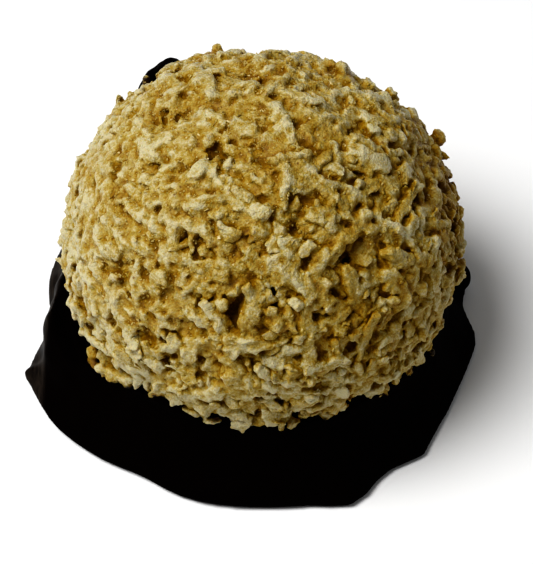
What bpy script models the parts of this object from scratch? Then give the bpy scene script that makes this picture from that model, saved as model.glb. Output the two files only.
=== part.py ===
"""A coconut macaroon whose base was dipped in dark chocolate.

The scooped ball of shredded coconut sits in a chocolate cup that has run out into a wavy foot.
Units are metres and +Z is up. The origin is on the floor, at the middle of the foot, and the
front of the macaroon faces -Y. Azimuths are in degrees, counted from +X towards +Y.
"""

import math
import random

import bmesh
import bpy
from mathutils import Matrix, Vector, noise

MM = 0.001

# Driving sizes of the ball
BALL_RADIUS = 23.0 * MM
BALL_CENTRE = Vector((1.0 * MM, 0.0, 17.0 * MM))
BALL_DETAIL = 5  # subdivisions of the icosphere
# Broad rises and hollows of the scooped shape: azimuth, latitude, height in mm, spread in degrees
BALL_LOBES = (
    (86, 40, -1.7, 12),
    (55, 34, -1.0, 14),
    (12, 10, 0.7, 12),
    (109, 38, 0.4, 10),
    (236, 60, 0.4, 16),
    (330, 20, 0.4, 18),
)
# Pits between the shreds: azimuth, latitude, radius in mm, depth in mm
PITS = (
    (237, 68, 1.6, 2.0),
    (270, 73, 1.4, 1.6),
    (152, 70, 1.4, 1.6),
    (87, 75, 1.2, 0.9),
    (240, 46, 1.0, 1.2),
    (261, 29, 1.9, 2.3),
    (275, 32, 1.6, 2.0),
    (292, 58, 1.3, 1.5),
    (303, 38, 1.4, 2.0),
    (341, 51, 1.3, 1.5),
    (252, 21, 1.2, 1.5),
    (288, 18, 1.2, 1.5),
    (202, 34, 1.2, 1.1),
    (30, 45, 1.5, 1.5),
    (62, 15, 1.6, 1.6),
    (95, 8, 1.5, 1.5),
    (168, 40, 1.4, 1.4),
    (10, 66, 1.3, 1.2),
)
CRAG_HEIGHT = 1.6 * MM
CRAG_LENGTH = 4.2 * MM
CRAG_FADE = 1.8 * MM  # height over which the crags die out towards the dipped part

# Shreds that stand on the ball. The large ones: azimuth, latitude, heading from east towards
# north in degrees, length, width and thickness in mm, tilt of the far end in degrees
LARGE_SHREDS = (
    (143, 71, 52, 6.6, 1.9, 1.5, 4),
    (236, 49, 12, 5.8, 1.2, 1.1, 6),
    (235, 32, 27, 2.4, 2.1, 1.4, 8),
    (256, 39, 36, 2.2, 1.9, 1.1, 10),
    (268, 29, 83, 4.2, 1.8, 1.5, 6),
    (292, 41, 36, 4.0, 1.8, 1.7, 4),
    (302, 44, 12, 4.0, 1.9, 1.9, 6),
    (313, 46, 17, 4.0, 1.8, 1.6, 8),
    (301, 32, 95, 4.9, 1.9, 1.6, 8),
    (316, 26, 125, 5.4, 1.8, 1.4, 10),
    (317, 18, 134, 4.0, 1.9, 1.1, 6),
    (324, 18, 140, 2.4, 1.7, 1.6, 4),
    (293, 29, 149, 2.9, 1.3, 1.2, 12),
    (335, 32, 49, 4.4, 1.2, 1.1, 6),
    (294, 24, 17, 3.8, 1.2, 1.1, 8),
    (299, 65, 9, 3.6, 1.3, 1.2, 8),
    (313, 79, 64, 3.8, 1.6, 1.2, 6),
    (356, 73, 101, 4.4, 1.2, 1.0, 6),
    (344, 53, 134, 2.8, 1.8, 1.2, 8),
    (301, 53, 29, 2.8, 1.1, 1.0, 14),
    (230, 63, 81, 3.6, 1.8, 1.6, 6),
    (204, 66, 96, 2.8, 2.5, 1.0, 4),
    (206, 13, 20, 5.2, 1.2, 1.1, 6),
    (239, 21, 150, 3.8, 1.2, 1.1, 10),
    (257, 25, 123, 3.4, 1.4, 1.2, 8),
    (263, 6, 139, 3.3, 2.3, 1.6, 6),
    (283, 7, 45, 5.4, 1.2, 1.1, 12),
    (47, 53, 115, 3.6, 1.9, 1.9, 20),
    (23, 20, 100, 2.8, 1.7, 1.7, 55),
    (108, 43, 163, 2.2, 1.2, 1.2, 40),
    (166, 19, 141, 2.6, 1.4, 1.2, 30),
    (27, 29, 2, 3.8, 1.8, 0.9, 25),
)
# The rest is scattered evenly, each one a little different
SMALL_SHREDS = 300
SHRED_SEED = 11
SHRED_LENGTH = (1.9, 4.4)  # mm
SHRED_WIDTH = (1.2, 2.1)  # mm
SHRED_THICKNESS = (1.0, 1.6)  # mm
SHRED_TILT = 22  # degrees, most
LARGE_SHRED_SIDES = 5
SMALL_SHRED_SIDES = 4
SHRED_PROUD = 0.30 * MM  # of a shred's axis over the ball
SHRED_CLEAR = 1.4 * MM  # of a shred over the chocolate
SHRED_SPACING = 1.6 * MM  # of the scattered ones from the large ones
CRUST_TRIANGLES = 10500

# Driving sizes of the chocolate
# Reach of the foot from the origin, with its bulges and bays: azimuth, outward in mm, half width
FOOT_REACH = 27.7 * MM
FOOT_BULGES = (
    (6, -0.9, 5),
    (18, 0.4, 6),
    (38, -1.0, 12),
    (80, -0.7, 9),
    (102, 0.5, 9),
    (146, 0.6, 11),
    (178, -1.9, 11),
    (196, 1.2, 6),
    (209, 1.3, 13),
    (240, -0.9, 9),
    (284, 0.4, 10),
    (294, 2.0, 7),
    (316, 1.2, 5),
    (338, -0.4, 7),
    (355, 0.5, 5),
)
# Height of the chocolate's edge on the ball, and its rises and dips: azimuth, mm, half width
EDGE_HEIGHT = 9.2 * MM
EDGE_WAVES = (
    (18, 1.0, 10),
    (40, -0.5, 8),
    (61, 1.4, 8),
    (118, 2.4, 22),
    (150, 0.9, 14),
    (200, -0.6, 20),
    (239, 2.9, 7),
    (258, -0.6, 6),
    (307, 1.4, 12),
)
# The run of chocolate that climbed the back, from a low latitude inside the coat to its tip
RUN_AZIMUTH = 127
RUN_LATITUDES = (-24, 36)
RUN_HALF_WIDTH = 2.7 * MM
RUN_THICKNESS = 1.7 * MM
RUN_BLUNTNESS = 0.5  # of its ends: 1 is an ellipse, less is squarer
RUN_SPREAD = 1.2  # how much wider it is where it leaves the coat
# The raised lip on the left, with the trough between it and the ball
LIP_AZIMUTH = 187
LIP_HALF_WIDTH = 24.0
LIP_HEIGHT = 2.6 * MM
LIP_OUT = 1.7 * MM
TROUGH_DEPTH = 1.3 * MM
# The drop that hangs on the foot on the right
DROP_AZIMUTH = 14
DROP_RADIUS = 2.0 * MM
DROP_HEIGHT = 2.6 * MM
DROP_IN = 1.6 * MM

COAT = 1.1 * MM  # thickness of the chocolate on the ball
GAP = 0.3 * MM  # between the ball and the chocolate
CUP_FLOOR = 1.2 * MM  # chocolate under the ball
FLARE_TOP = 9.0 * MM  # height where the coat starts to spread into the foot
FLARE_POWER = 1.6
FOOT_EDGE = 0.9 * MM  # height of the foot's widest line
FOOT_UNDERCUT = 0.5 * MM
RIPPLE = 0.7 * MM
RIPPLE_LENGTH = 6.0 * MM
COLUMNS = 78
OUTER_STATIONS = (0.0, 0.08, 0.18, 0.30, 0.42, 0.54, 0.66, 0.78, 0.90, 1.0)
INNER_STATIONS = 7


def clear_scene():
    for old in list(bpy.data.objects):
        bpy.data.objects.remove(old)


def make_material(name, colour, roughness):
    material = bpy.data.materials.new(name)
    material.use_nodes = True
    shader = material.node_tree.nodes["Principled BSDF"]
    shader.inputs["Base Color"].default_value = (*colour, 1.0)
    shader.inputs["Roughness"].default_value = roughness
    shader.inputs["Metallic"].default_value = 0.0
    return material


def add_object(name, bm, material, collection=None):
    mesh = bpy.data.meshes.new(name)
    bm.to_mesh(mesh)
    bm.free()
    mesh.materials.append(material)
    made = bpy.data.objects.new(name, mesh)
    (collection or bpy.context.scene.collection).objects.link(made)
    return made


def smoothstep(value):
    share = min(max(value, 0.0), 1.0)
    return share * share * (3 - 2 * share)


def bump(offset, half_width):
    """A smooth hump of height 1 at offset 0."""
    return math.exp(-((offset / half_width) ** 2))


def turn_between(azimuth_a, azimuth_b):
    """Signed angle from b to a in degrees, between -180 and 180."""
    return (azimuth_a - azimuth_b + 180) % 360 - 180


def waver(level, waves, azimuth):
    """A level with a few humps and hollows round the turn."""
    return level + MM * sum(height * bump(turn_between(azimuth, at), width) for at, height, width in waves)


def direction(azimuth, latitude):
    turn, rise = math.radians(azimuth), math.radians(latitude)
    return Vector((math.cos(rise) * math.cos(turn), math.cos(rise) * math.sin(turn), math.sin(rise)))


def body_radius(way):
    """Radius of the smooth ball along a unit direction from its centre."""
    radius = BALL_RADIUS
    for azimuth, latitude, height, spread in BALL_LOBES:
        apart = math.degrees(way.angle(direction(azimuth, latitude)))
        radius += height * MM * bump(apart, spread)
    return radius


def ball_point(azimuth, height, outward):
    """The point at this azimuth and height, outward of the smooth ball by the given distance."""
    latitude = 0.0
    radius = BALL_RADIUS + outward
    for _ in range(6):
        sine = (height - BALL_CENTRE.z) / radius
        latitude = math.degrees(math.asin(min(max(sine, -1.0), 1.0)))
        radius = body_radius(direction(azimuth, latitude)) + outward
    return BALL_CENTRE + direction(azimuth, latitude) * radius


def edge_height(azimuth):
    return waver(EDGE_HEIGHT, EDGE_WAVES, azimuth)


def foot_reach(azimuth):
    return waver(FOOT_REACH, FOOT_BULGES, azimuth)


def azimuth_of(point):
    return math.degrees(math.atan2(point.y - BALL_CENTRE.y, point.x - BALL_CENTRE.x)) % 360


def off_chocolate(point):
    """How far a point on the ball is from the chocolate's edge and from the run up the back."""
    azimuth = azimuth_of(point)
    over_edge = point.z - max(edge_height(azimuth + step) for step in (-7, 0, 7))
    from_axis = math.hypot(point.x - BALL_CENTRE.x, point.y - BALL_CENTRE.y)
    beside_run = abs(math.radians(turn_between(azimuth, RUN_AZIMUTH))) * from_axis - RUN_HALF_WIDTH
    latitude = math.atan2(point.z - BALL_CENTRE.z, from_axis)
    over_run = (latitude - math.radians(RUN_LATITUDES[1])) * BALL_RADIUS
    return min(over_edge, max(beside_run, over_run))


def crag(way, point):
    """Height of the crust's own relief at a point, none of it in the dipped part."""
    shown = smoothstep(off_chocolate(point) / CRAG_FADE)
    place = point / CRAG_LENGTH
    height = CRAG_HEIGHT * (noise.noise(place) + 0.6 * noise.noise(place * 2.3))
    for azimuth, latitude, radius, depth in PITS:
        apart = way.angle(direction(azimuth, latitude)) * BALL_RADIUS
        height -= depth * MM * bump(apart, radius * MM)
    return shown * height


def make_ball_body(material):
    bm = bmesh.new()
    bmesh.ops.create_icosphere(bm, subdivisions=BALL_DETAIL, radius=1.0)
    for vert in bm.verts:
        way = vert.co.normalized()
        point = BALL_CENTRE + way * body_radius(way)
        vert.co = point + way * crag(way, point)
    cut = bmesh.ops.bisect_plane(
        bm,
        geom=bm.verts[:] + bm.edges[:] + bm.faces[:],
        plane_co=(0, 0, CUP_FLOOR + GAP),
        plane_no=(0, 0, 1),
        clear_inner=True,
    )
    rim = [item for item in cut["geom_cut"] if isinstance(item, bmesh.types.BMEdge)]
    bmesh.ops.edgeloop_fill(bm, edges=rim)
    bmesh.ops.recalc_face_normals(bm, faces=bm.faces)
    return add_object("coconut_ball", bm, material)


def shred_mesh(length, width, thickness, bend, taper, sides):
    """A bent, tapered rod lying along X, with a few flat sides."""
    bm = bmesh.new()
    bmesh.ops.create_cone(
        bm,
        cap_ends=True,
        segments=sides,
        radius1=0.5,
        radius2=0.5 * taper,
        depth=1.0,
    )
    long_edges = [e for e in bm.edges if abs(e.verts[0].co.z - e.verts[1].co.z) > 0.5]
    bmesh.ops.subdivide_edges(bm, edges=long_edges, cuts=1)
    for vert in bm.verts:
        along = vert.co.z
        sag = bend * (along * along * 4 - 0.3)
        vert.co = Vector((along * length, vert.co.x * width, vert.co.y * thickness - sag))
    bmesh.ops.recalc_face_normals(bm, faces=bm.faces)
    return bm


def surface_frame(azimuth, latitude, heading, tilt, proud):
    """A matrix whose X runs along the ball's surface and whose Z points out of it."""
    out = direction(azimuth, latitude)
    east = Vector((0, 0, 1)).cross(out).normalized()
    turn = Matrix.Rotation(math.radians(heading), 3, out)
    along = Matrix.Rotation(-math.radians(tilt), 3, turn @ out.cross(east)) @ (turn @ east)
    side = out.cross(along).normalized()
    top = along.cross(side)
    centre = BALL_CENTRE + out * body_radius(out)
    centre += out * (crag(out, centre) + proud)
    frame = Matrix((along, side, top)).transposed().to_4x4()
    frame.translation = centre
    return frame


def clear_of_chocolate(bm):
    return all(off_chocolate(vert.co) > SHRED_CLEAR for vert in bm.verts)


def add_shred(number, place, sizes, shape, material, collection):
    """One shred on the ball, left out where it would reach the chocolate."""
    azimuth, latitude, heading, tilt = place
    length, width, thickness = (size * MM for size in sizes)
    bend, taper, sides = shape
    bm = shred_mesh(length, width, thickness, bend * MM, taper, sides)
    lift = SHRED_PROUD + 0.3 * length * math.sin(math.radians(tilt))
    bmesh.ops.transform(bm, verts=bm.verts, matrix=surface_frame(azimuth, latitude, heading, tilt, lift))
    if clear_of_chocolate(bm):
        add_object(f"shred_{number:03d}", bm, material, collection)
    else:
        bm.free()


def add_shreds(material, collection):
    draw = random.Random(SHRED_SEED)
    for number, (azimuth, latitude, heading, *sizes, tilt) in enumerate(LARGE_SHREDS):
        shape = (draw.uniform(0.15, 0.4), draw.uniform(0.7, 1.0), LARGE_SHRED_SIDES)
        add_shred(number, (azimuth, latitude, heading, tilt), sizes, shape, material, collection)
    golden_turn = 180 * (3 - math.sqrt(5))
    lowest = math.sin(math.radians(-20))
    for index in range(SMALL_SHREDS):
        level = 1 - (index + 0.5) / SMALL_SHREDS * (1 - lowest)
        latitude = math.degrees(math.asin(level)) + draw.uniform(-3, 3)
        azimuth = index * golden_turn + draw.uniform(-5, 5)
        place = (azimuth, latitude, draw.uniform(0, 180), draw.uniform(0, SHRED_TILT))
        sizes = [draw.uniform(*span) for span in (SHRED_LENGTH, SHRED_WIDTH, SHRED_THICKNESS)]
        shape = (draw.uniform(0.05, 0.35), draw.uniform(0.6, 1.0), SMALL_SHRED_SIDES)
        taken = any(
            direction(*large[:2]).angle(direction(azimuth, latitude)) * BALL_RADIUS < SHRED_SPACING
            for large in LARGE_SHREDS
        )
        if not taken:
            add_shred(len(LARGE_SHREDS) + index, place, sizes, shape, material, collection)


def keep_largest_shell(bm):
    """Drops scraps and the walls of sealed hollows that fusing leaves behind."""
    left = set(bm.faces)
    shells = []
    while left:
        shell, edge_of = set(), [left.pop()]
        while edge_of:
            face = edge_of.pop()
            shell.add(face)
            for edge in face.edges:
                for other in edge.link_faces:
                    if other in left:
                        left.discard(other)
                        edge_of.append(other)
        shells.append(shell)
    shells.sort(key=len)
    loose = [face for shell in shells[:-1] for face in shell]
    bmesh.ops.delete(bm, geom=loose, context="FACES")


def settle_modifiers(body):
    """Makes what the modifiers give the mesh itself, in triangles."""
    evaluated = body.evaluated_get(bpy.context.evaluated_depsgraph_get())
    bm = bmesh.new()
    bm.from_mesh(evaluated.to_mesh())
    evaluated.to_mesh_clear()
    body.modifiers.clear()
    bmesh.ops.triangulate(bm, faces=bm.faces)
    bmesh.ops.dissolve_degenerate(bm, edges=bm.edges, dist=2e-6)
    bmesh.ops.triangulate(bm, faces=bm.faces)
    keep_largest_shell(bm)
    bm.to_mesh(body.data)
    bm.free()


def fuse(body, collection):
    """Joins every object of the collection into body, then removes them."""
    union = body.modifiers.new("Fuse", "BOOLEAN")
    union.operation = "UNION"
    union.operand_type = "COLLECTION"
    union.collection = collection
    union.solver = "EXACT"
    settle_modifiers(body)
    for joined in list(collection.objects):
        bpy.data.objects.remove(joined)
    bpy.data.collections.remove(collection)


def lighten(body, triangles):
    """Merges the flattest triangles until only this many are left."""
    merge = body.modifiers.new("Lighten", "DECIMATE")
    merge.ratio = min(1.0, triangles / len(body.data.polygons))
    settle_modifiers(body)


def make_ball(material):
    body = make_ball_body(material)
    shreds = bpy.data.collections.new("Shreds")
    bpy.context.scene.collection.children.link(shreds)
    add_shreds(material, shreds)
    fuse(body, shreds)
    lighten(body, CRUST_TRIANGLES)
    body.data.shade_smooth()
    body.data.set_sharp_from_angle(angle=math.radians(35))
    return body


def lip_share(azimuth):
    return bump(turn_between(azimuth, LIP_AZIMUTH), LIP_HALF_WIDTH)


def outer_point(azimuth, share):
    """A point of the chocolate's outside, from its edge on the ball at 0 to the foot's rim at 1."""
    top = edge_height(azimuth)
    height = FOOT_EDGE + (top - FOOT_EDGE) * (1 - share) ** 1.2
    on_ball = ball_point(azimuth, height, COAT)
    waist = ball_point(azimuth, FLARE_TOP, COAT)
    turn = math.radians(azimuth)
    reach = foot_reach(azimuth)
    foot = Vector((reach * math.cos(turn), reach * math.sin(turn), 0))
    spread = max(0.0, (FLARE_TOP - height) / (FLARE_TOP - FOOT_EDGE)) ** FLARE_POWER
    point = waist.lerp(foot, spread) if height < FLARE_TOP else on_ball
    lip = lip_share(azimuth)
    away = Vector((math.cos(turn), math.sin(turn), 0))
    wave = math.sin(math.pi * share) * RIPPLE * noise.noise(point / RIPPLE_LENGTH)
    outward = wave + LIP_OUT * lip * bump(share - 0.50, 0.22)
    point = Vector((point.x, point.y, 0)) + away * outward
    point.z = height + LIP_HEIGHT * lip * bump(share - 0.46, 0.16)
    point.z -= TROUGH_DEPTH * lip * bump(share - 0.20, 0.09)
    return point


def chocolate_rings():
    """Each ring of the chocolate as a function of azimuth, from the cup's floor out and down to the floor."""

    def inner(share):
        def point(azimuth):
            height = CUP_FLOOR + (edge_height(azimuth) - CUP_FLOOR) * share
            return ball_point(azimuth, height, GAP)

        return point

    def crown(azimuth):
        return ball_point(azimuth, edge_height(azimuth) + 0.25 * MM, 0.55 * COAT)

    def outer(share):
        return lambda azimuth: outer_point(azimuth, share)

    def tucked(azimuth):
        rim = outer_point(azimuth, 1.0)
        away = Vector((rim.x, rim.y, 0)).normalized()
        return Vector((rim.x, rim.y, 0)) - away * FOOT_UNDERCUT

    rings = [inner(step / (INNER_STATIONS - 1)) for step in range(INNER_STATIONS)]
    rings.append(crown)
    rings.extend(outer(share) for share in OUTER_STATIONS)
    rings.append(tucked)
    return rings


def make_chocolate_body(material):
    bm = bmesh.new()
    turn_layer = bm.verts.layers.float.new("azimuth")
    rings = chocolate_rings()
    bmesh.ops.create_circle(bm, segments=COLUMNS, radius=1.0)
    ring_edges = bm.edges[:]
    for vert in bm.verts:
        vert[turn_layer] = math.degrees(math.atan2(vert.co.y, vert.co.x)) % 360
        vert.co = rings[0](vert[turn_layer])
    bmesh.ops.edgeloop_fill(bm, edges=ring_edges)
    for ring in rings[1:]:
        grown = bmesh.ops.extrude_edge_only(bm, edges=ring_edges)["geom"]
        new_verts = {item for item in grown if isinstance(item, bmesh.types.BMVert)}
        ring_edges = [
            item
            for item in grown
            if isinstance(item, bmesh.types.BMEdge) and new_verts.issuperset(item.verts)
        ]
        for vert in new_verts:
            vert.co = ring(vert[turn_layer])
    bmesh.ops.edgeloop_fill(bm, edges=ring_edges)
    bmesh.ops.recalc_face_normals(bm, faces=bm.faces)
    bmesh.ops.triangulate(bm, faces=bm.faces)
    return add_object("chocolate_base", bm, material)


def make_drop(material, collection):
    turn = math.radians(DROP_AZIMUTH)
    reach = foot_reach(DROP_AZIMUTH) - DROP_IN
    centre = Vector((reach * math.cos(turn), reach * math.sin(turn), DROP_HEIGHT))
    bm = bmesh.new()
    bmesh.ops.create_icosphere(bm, subdivisions=2, radius=DROP_RADIUS, matrix=Matrix.Translation(centre))
    return add_object("drop", bm, material, collection)


def make_run(material, collection):
    """The run up the back: a long dome laid on the ball."""
    bm = bmesh.new()
    bmesh.ops.create_icosphere(bm, subdivisions=3, radius=1.0)
    low, high = RUN_LATITUDES
    for vert in bm.verts:
        across, along, up = vert.co
        climbed = (math.copysign(abs(along) ** RUN_BLUNTNESS, along) + 1) / 2
        latitude = low + (high - low) * climbed
        half_width = RUN_HALF_WIDTH * (1 + RUN_SPREAD * (1 - climbed) ** 4)
        turn = across * half_width / (BALL_RADIUS * math.cos(math.radians(latitude)))
        way = direction(RUN_AZIMUTH + math.degrees(turn), latitude)
        outward = 1.5 * GAP + max(0.0, up) * RUN_THICKNESS * (0.45 + 0.55 * smoothstep(2 * climbed))
        vert.co = BALL_CENTRE + way * (body_radius(way) + outward)
    bmesh.ops.dissolve_degenerate(bm, edges=bm.edges, dist=1e-5)
    bmesh.ops.recalc_face_normals(bm, faces=bm.faces)
    return add_object("run", bm, material, collection)


def make_chocolate(material):
    body = make_chocolate_body(material)
    runs = bpy.data.collections.new("Runs")
    bpy.context.scene.collection.children.link(runs)
    make_drop(material, runs)
    make_run(material, runs)
    fuse(body, runs)
    body.data.shade_smooth()
    return body


def main():
    clear_scene()
    coconut = make_material("baked coconut", (0.60, 0.44, 0.17), 0.6)
    chocolate = make_material("dark chocolate", (0.020, 0.011, 0.007), 0.35)
    make_ball(coconut)
    make_chocolate(chocolate)


main()
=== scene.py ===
"""A baked coconut macaroon whose base was dipped in dark chocolate."""

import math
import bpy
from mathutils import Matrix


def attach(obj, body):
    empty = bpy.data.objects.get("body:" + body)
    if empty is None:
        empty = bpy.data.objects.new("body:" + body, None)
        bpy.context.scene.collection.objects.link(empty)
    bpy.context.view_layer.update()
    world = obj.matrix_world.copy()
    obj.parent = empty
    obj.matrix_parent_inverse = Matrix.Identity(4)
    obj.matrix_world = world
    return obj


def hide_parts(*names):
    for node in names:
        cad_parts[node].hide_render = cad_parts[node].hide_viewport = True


bl_info = {
    "name": "Coconut Macaroon",
    "version": (1, 0, 0),
    "blender": (4, 5, 0),
    "location": "3D View > Sidebar > Macaroon",
    "description": "Builds a chocolate-dipped coconut macaroon round its packed solids",
    "category": "Mesh",
}

import bmesh
import bpy
import numpy as np
from mathutils import Vector, bvhtree, kdtree, noise

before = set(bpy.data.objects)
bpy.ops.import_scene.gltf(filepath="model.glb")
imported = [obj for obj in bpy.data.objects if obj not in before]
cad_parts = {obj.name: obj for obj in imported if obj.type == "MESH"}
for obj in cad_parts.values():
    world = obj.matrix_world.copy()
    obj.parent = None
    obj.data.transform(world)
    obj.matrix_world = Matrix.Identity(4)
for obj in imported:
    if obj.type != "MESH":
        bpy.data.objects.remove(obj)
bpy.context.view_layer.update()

MM = 0.001  # the pieces are worked out in millimetres

# The most triangles of the larger pieces, and the finest relief of their skins
CRUST_TRIANGLES = 196000
LOOSE_TRIANGLES = 180000
COAT_TRIANGLES = 150000
LOOSE_FINENESS = 0.17
COAT_FINENESS = 0.32
LEAST_SCRAP = 60  # loose bits with fewer vertices are dropped

BALL_RADIUS = 23.0
BALL_CENTRE = np.array((1.0, 0.0, 17.0))
BALL_FLOOR = 1.5  # height of the ball's flat underside
SCOOP_CLEAR = 0.7  # how far shreds stand over the scooped shape before they are pressed flat
PRESSED_SHARE = 0.4  # how much of what stands higher is pressed in
PIT_EDGE = 0.25  # nothing is laid where a pit is deeper
# Broad rises and hollows of the scooped shape: azimuth, latitude, height, spread in degrees
BALL_LOBES = (
    (86, 40, -1.3, 12),
    (55, 34, -0.8, 14),
    (12, 10, 0.7, 12),
    (109, 38, 0.4, 10),
    (236, 60, 0.4, 16),
    (330, 20, 0.4, 18),
)
# Pits between the shreds: azimuth, latitude, radius, depth
PITS = (
    (232, 71, 1.5, 1.3),
    (274, 75.5, 1.3, 1.2),
    (147, 66.5, 1.3, 1.3),
    (177, 50, 0.8, 1.2),
    (87, 75, 1.0, 1.4),
    (240, 46, 0.7, 1.4),
    (255, 61, 0.5, 1.0),
    (238, 37, 0.7, 1.3),
    (261, 29, 1.6, 2.2),
    (275, 32, 1.3, 2.2),
    (202, 34, 0.7, 1.2),
    (292, 58, 0.9, 1.1),
    (286, 52, 0.7, 1.4),
    (303, 38, 1.0, 2.1),
    (310, 41, 0.8, 1.8),
    (341, 51, 1.0, 1.5),
    (331, 58, 0.8, 1.5),
    (319, 73, 0.5, 1.0),
    (252, 21, 1.0, 2.0),
    (288, 18, 1.0, 1.8),
    (299, 12, 0.8, 1.6),
    (30, 45, 1.2, 2.0),
    (62, 15, 1.3, 2.2),
    (95, 8, 1.2, 2.0),
    (168, 40, 1.1, 1.8),
    (10, 66, 1.1, 1.2),
    (120, 62, 1.1, 1.6),
    (350, 12, 1.1, 1.8),
)
# Shreds that catch the eye: azimuth, latitude, heading from east towards north, length, width,
# thickness, tilt of the far end, height of the axis over the crust
BOLD_SHREDS = (
    (143, 71, 52, 6.6, 1.9, 1.5, 4, 0.2),
    (236, 49, 12, 5.8, 1.2, 1.1, 6, 0.3),
    (235, 32, 27, 2.4, 2.1, 1.4, 8, 0.3),
    (256, 39, 36, 2.2, 1.9, 1.1, 10, 0.3),
    (268, 29, 83, 4.2, 1.8, 1.5, 6, 0.3),
    (292, 41, 36, 4.0, 1.8, 1.7, 4, 0.4),
    (302, 44, 12, 4.0, 1.9, 1.9, 6, 0.5),
    (313, 46, 17, 4.0, 1.8, 1.6, 8, 0.4),
    (301, 32, 95, 4.9, 1.9, 1.6, 8, 0.4),
    (316, 26, 125, 5.4, 1.8, 1.4, 10, 0.4),
    (317, 18, 134, 4.0, 1.9, 1.1, 6, 0.3),
    (324, 18, 140, 2.4, 1.7, 1.6, 4, 0.4),
    (293, 29, 149, 2.9, 1.3, 1.2, 12, 0.3),
    (335, 32, 49, 4.4, 1.2, 1.1, 6, 0.4),
    (294, 24, 17, 3.8, 1.2, 1.1, 8, 0.3),
    (299, 65, 9, 3.6, 1.3, 1.2, 8, 0.3),
    (313, 79, 64, 3.8, 1.6, 1.2, 6, 0.3),
    (356, 73, 101, 4.4, 1.2, 1.0, 6, 0.3),
    (344, 53, 134, 2.8, 1.8, 1.2, 8, 0.4),
    (301, 53, 29, 2.8, 1.1, 1.0, 14, 0.3),
    (230, 63, 81, 3.6, 1.8, 1.6, 6, 0.3),
    (204, 66, 96, 2.8, 2.5, 1.0, 4, 0.2),
    (206, 13, 20, 5.2, 1.2, 1.1, 6, 0.3),
    (239, 21, 150, 3.8, 1.2, 1.1, 10, 0.3),
    (257, 25, 123, 3.4, 1.4, 1.2, 8, 0.3),
    (263, 6, 139, 3.3, 2.3, 1.6, 6, 0.3),
    (283, 7, 45, 5.4, 1.2, 1.1, 12, 0.4),
    (47, 53, 115, 3.6, 1.9, 1.9, 20, 0.6),
    (23, 20, 100, 2.8, 1.7, 1.7, 55, 0.9),
    (108, 43, 163, 1.4, 1.0, 1.0, 20, 0.7),
    (166, 19, 141, 2.6, 1.4, 1.2, 30, 0.5),
    (27, 29, 2, 3.8, 1.8, 0.9, 25, 0.5),
    (35, 36, 100, 2.8, 1.7, 1.0, 30, 0.7),
    (2, 10, 80, 2.6, 1.3, 1.0, 20, 0.6),
    (142, 27, 60, 2.2, 0.9, 0.8, 60, 0.9),
)
# Shreds stuck in the chocolate in front of the crust, in the same order
STUCK_SHREDS = (
    (208, -20, 75, 2.6, 1.8, 1.5, 15, 1.3),
    (209, -23, 20, 2.2, 1.7, 1.3, 10, 1.9),
    (215, -19.5, 60, 2.6, 1.9, 1.4, 10, 1.5),
    (219, -19, 120, 1.8, 1.4, 1.2, 10, 1.3),
)
# Where the crust browned more or less, and where painted shade darkens the right and lower front:
# azimuth, latitude, amount, spread in degrees
TOAST_AND_SHADE = (
    (120, 72, 0.12, 26),
    (270, 78, 0.07, 12),
    (47, 53, 0.45, 6),
    (23, 20, 0.4, 6),
    (300, 62, 0.14, 8),
    (238, 50, 0.1, 8),
    (262, 38, 0.24, 9),
    (235, 24, 0.2, 9),
    (308, 40, 0.25, 8),
    (258, 12, 0.2, 8),
    (300, 22, 0.15, 8),
    (215, 38, 0.1, 14),
    (196, 12, -0.15, 12),
    # These three rows darken the right and lower front, where little lamp light falls: painted shade
    (335, 10, 0.18, 45),
    (8, 14, 0.3, 22),
    (280, 15, 0.11, 32),
    (108, 43, 0.4, 3),
    (210, -21, 0.6, 6),
)
# Height of the chocolate's edge on the ball, and its rises and dips: azimuth, mm, half width
EDGE_HEIGHT = 9.2
EDGE_WAVES = (
    (18, 1.0, 10),
    (40, -0.5, 8),
    (61, 1.4, 8),
    (118, 2.4, 22),
    (150, 0.9, 14),
    (200, -0.6, 20),
    (209, -1.8, 7),
    (239, 2.9, 7),
    (258, -0.6, 6),
    (307, 1.4, 12),
)
# The run of chocolate up the back left, and how far its finished coat is pushed out
RUN_AZIMUTH = 127
RUN_TOP = 36
RUN_HALF_WIDTH = 2.7
RUN_PROUD = 0.3
RUN_SHIFT = np.array((0.8, 0.6, 0.5))
SPIKE = np.array((-27.0, -7.9, 1.5))  # tip that is drawn out at the left of the foot
# How far left the chocolate's outer wall with the painted sheen begins, from front to back
SHEEN_FROM_Y = (-14, -8, -4, -1, 8, 14)
SHEEN_FROM_X = (25.6, 25.4, 24.9, 24.2, 22.8, 21.5)

# Layers of fused shreds: share of them all, height over the crust, its spread, share of them
# that is left where the crust is closed
FUSED_LAYERS = ((0.35, -0.85, 0.2, 0.5), (0.37, -0.48, 0.2, 0.8), (0.28, -0.02, 0.15, 0.9))
FUSED_LOWEST = -12  # latitude
LOOSE_LOWEST = -30
# Length, width and thickness
FUSED_SIZE = (3.1, 1.22, 1.0)
SHRED_SIZE = (2.9, 1.45, 1.1)
FLAKE_SIZE = (2.9, 2.0, 0.62)
# Usual width, its spread, least and most
CRUMB_SIZE = (0.4, 0.28, 0.22, 0.65)
GRAIN_SIZE = (0.17, 0.2, 0.115, 0.3)
LOOSE_KINDS = ("shreds", "flakes", "crumbs", "sugar")
SHELTER_REACH = 3.0  # things further off give no shelter
SMEAR_REACH = 1.6  # how far over its edge the chocolate soaked the coconut

# The lamp's direction, distance and width, in metres
TOWARDS_LAMP = (-0.45, -0.12, 0.88)
LAMP_FAR = 0.6
LAMP_WIDE = 0.36
# The camera's rise in degrees, its lens, and its place in mm from the ball's centre
CAMERA_RISE = 50
CAMERA_LENS = 158.27
CAMERA_FAR = 300
CAMERA_DOWN = 4.9
CAMERA_RIGHT = 0.66


# Measures round the ball


def bump(offset, half_width):
    """1 in the middle, falling smoothly to nothing past the half width."""
    return np.exp(-((offset / half_width) ** 2))


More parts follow.
